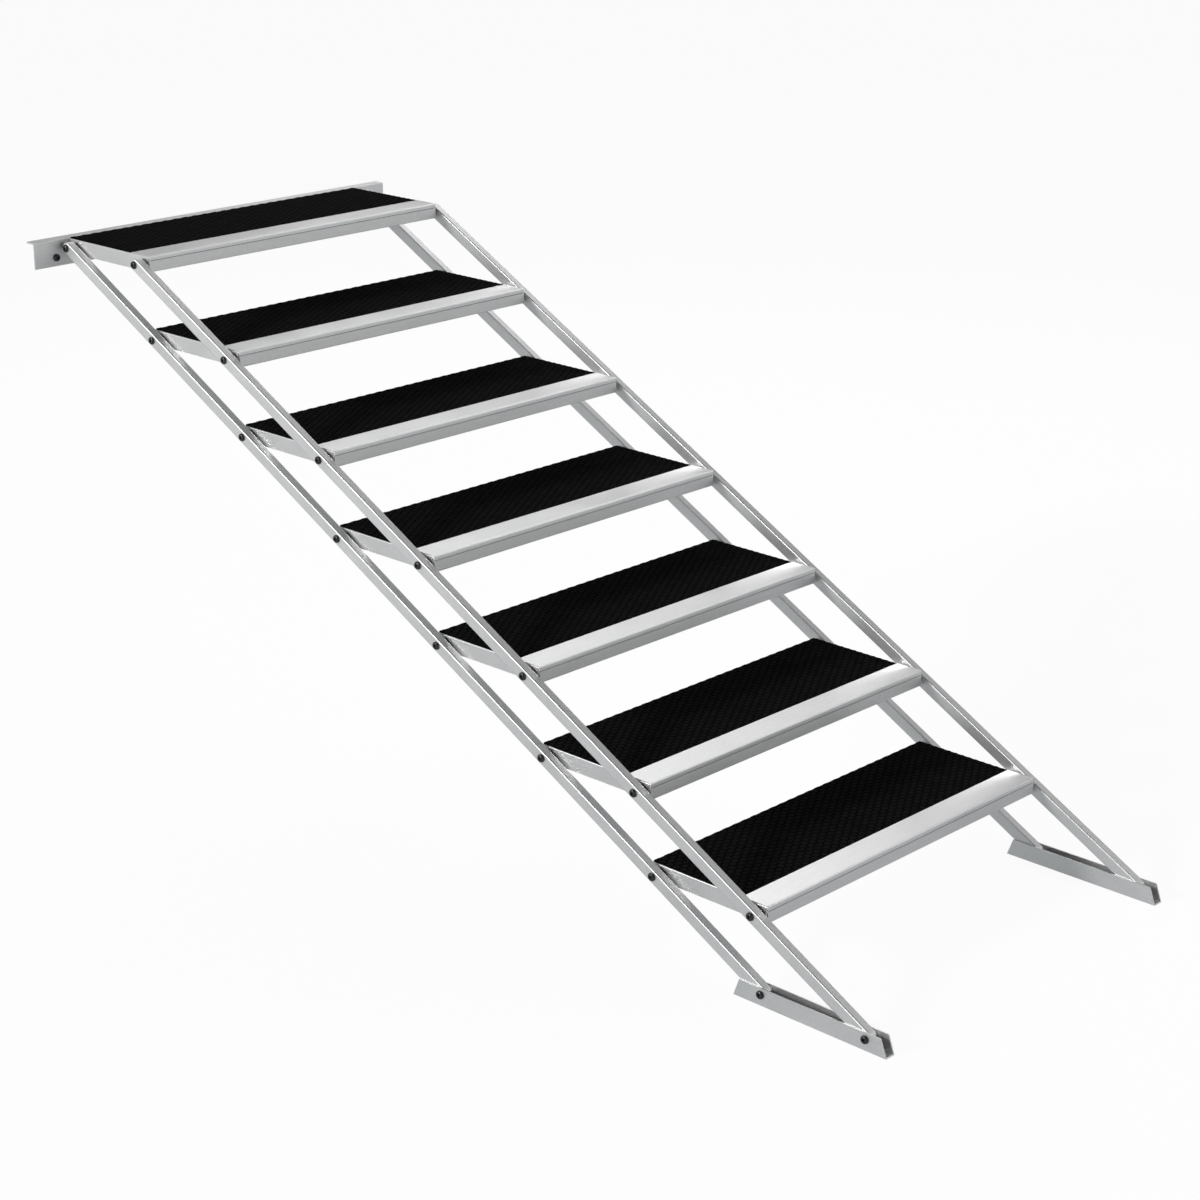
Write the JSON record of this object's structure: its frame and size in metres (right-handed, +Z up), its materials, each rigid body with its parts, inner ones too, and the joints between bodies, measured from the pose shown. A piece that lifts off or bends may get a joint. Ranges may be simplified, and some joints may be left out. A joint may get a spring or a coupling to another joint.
{
  "type": "dog ramp",
  "caption": "Self-levelling dock stair for dogs, with matted treads and feet that stay level on parallel swinging rails.",
  "frame": {"origin": "on the rear face of the dock bracket, midway between the two dock bolts, at their height", "axes": "+X to the right across the stair, +Y towards the dock, +Z up"},
  "size_m": [0.932, 2.1881, 1.0305],
  "materials": {
    "bracket": "brushed, light grey",
    "dark_bolt": "black oxide, slightly glossy",
    "rivet": "bright",
    "pan": "satin mill finish",
    "nosing": "bright satin",
    "mat": "matt black, ribbed",
    "rail": "satin anodised",
    "end_block": "plain grey",
    "steel": "plain zinc-coated",
    "spacer": "plain dark nylon",
    "foot": "satin mill finish"
  },
  "bodies": {
    "top_step": {"top_bracket": "bracket", "dock_bolts": "dark_bolt", "bracket_rivets": "rivet", "tread_pan_1": "pan", "nosing_1": "nosing", "tread_mat_1": "mat"},
    "rear_rails": {"left_rear_rail": "rail", "right_rear_rail": "rail", "rear_rail_end_blocks": "end_block", "rear_rail_sleeves": "steel", "rear_pivot_bolts": "dark_bolt", "rear_pivot_spacers": "spacer", "rear_pivot_washers": "steel", "rear_lock_nuts": "steel"},
    "front_rails": {"left_front_rail": "rail", "right_front_rail": "rail", "front_rail_end_blocks": "end_block", "front_rail_sleeves": "steel", "front_pivot_bolts": "dark_bolt", "front_pivot_spacers": "spacer", "front_pivot_washers": "steel", "front_lock_nuts": "steel"},
    "step_2": {"tread_pan_2": "pan", "nosing_2": "nosing", "tread_mat_2": "mat"},
    "step_3": {"tread_pan_3": "pan", "nosing_3": "nosing", "tread_mat_3": "mat"},
    "step_4": {"tread_pan_4": "pan", "nosing_4": "nosing", "tread_mat_4": "mat"},
    "step_5": {"tread_pan_5": "pan", "nosing_5": "nosing", "tread_mat_5": "mat"},
    "step_6": {"tread_pan_6": "pan", "nosing_6": "nosing", "tread_mat_6": "mat"},
    "step_7": {"tread_pan_7": "pan", "nosing_7": "nosing", "tread_mat_7": "mat"},
    "left_foot": {"left_foot": "foot", "left_foot_bolts": "dark_bolt"},
    "right_foot": {"right_foot": "foot", "right_foot_bolts": "dark_bolt"}
  },
  "joints": [
    {"name": "stair_swing", "type": "hinge", "parent": "top_step", "child": "rear_rails", "pos_m": [0, -0.0227, 0.0199], "axis": [1, 0, 0], "range_deg": [-21, 60]},
    {"name": "front_rails_swing", "type": "hinge", "parent": "top_step", "child": "front_rails", "pos_m": [0, -0.2452, 0.0199], "axis": [1, 0, 0], "range_deg": [-21, 60]},
    {"name": "step_2_level", "type": "hinge", "parent": "rear_rails", "child": "step_2", "pos_m": [0, -0.2904, -0.1232], "axis": [1, 0, 0], "range_deg": [-60, 21]},
    {"name": "step_3_level", "type": "hinge", "parent": "rear_rails", "child": "step_3", "pos_m": [0, -0.5581, -0.2663], "axis": [1, 0, 0], "range_deg": [-60, 21]},
    {"name": "step_4_level", "type": "hinge", "parent": "rear_rails", "child": "step_4", "pos_m": [0, -0.8258, -0.4094], "axis": [1, 0, 0], "range_deg": [-60, 21]},
    {"name": "step_5_level", "type": "hinge", "parent": "rear_rails", "child": "step_5", "pos_m": [0, -1.0935, -0.5525], "axis": [1, 0, 0], "range_deg": [-60, 21]},
    {"name": "step_6_level", "type": "hinge", "parent": "rear_rails", "child": "step_6", "pos_m": [0, -1.3612, -0.6956], "axis": [1, 0, 0], "range_deg": [-60, 21]},
    {"name": "step_7_level", "type": "hinge", "parent": "rear_rails", "child": "step_7", "pos_m": [0, -1.6289, -0.8387], "axis": [1, 0, 0], "range_deg": [-60, 21]},
    {"name": "left_foot_level", "type": "hinge", "parent": "rear_rails", "child": "left_foot", "pos_m": [0, -1.88, -0.97293], "axis": [1, 0, 0], "range_deg": [-60, 21]},
    {"name": "right_foot_level", "type": "hinge", "parent": "rear_rails", "child": "right_foot", "pos_m": [0, -1.88, -0.97293], "axis": [1, 0, 0], "range_deg": [-60, 21]}
  ],
  "couplings": [
    {"joint": "front_rails_swing", "follows": "stair_swing", "ratio": 1},
    {"joint": "step_2_level", "follows": "stair_swing", "ratio": -1},
    {"joint": "step_3_level", "follows": "stair_swing", "ratio": -1},
    {"joint": "step_4_level", "follows": "stair_swing", "ratio": -1},
    {"joint": "step_5_level", "follows": "stair_swing", "ratio": -1},
    {"joint": "step_6_level", "follows": "stair_swing", "ratio": -1},
    {"joint": "step_7_level", "follows": "stair_swing", "ratio": -1},
    {"joint": "left_foot_level", "follows": "stair_swing", "ratio": -1},
    {"joint": "right_foot_level", "follows": "stair_swing", "ratio": -1}
  ]
}
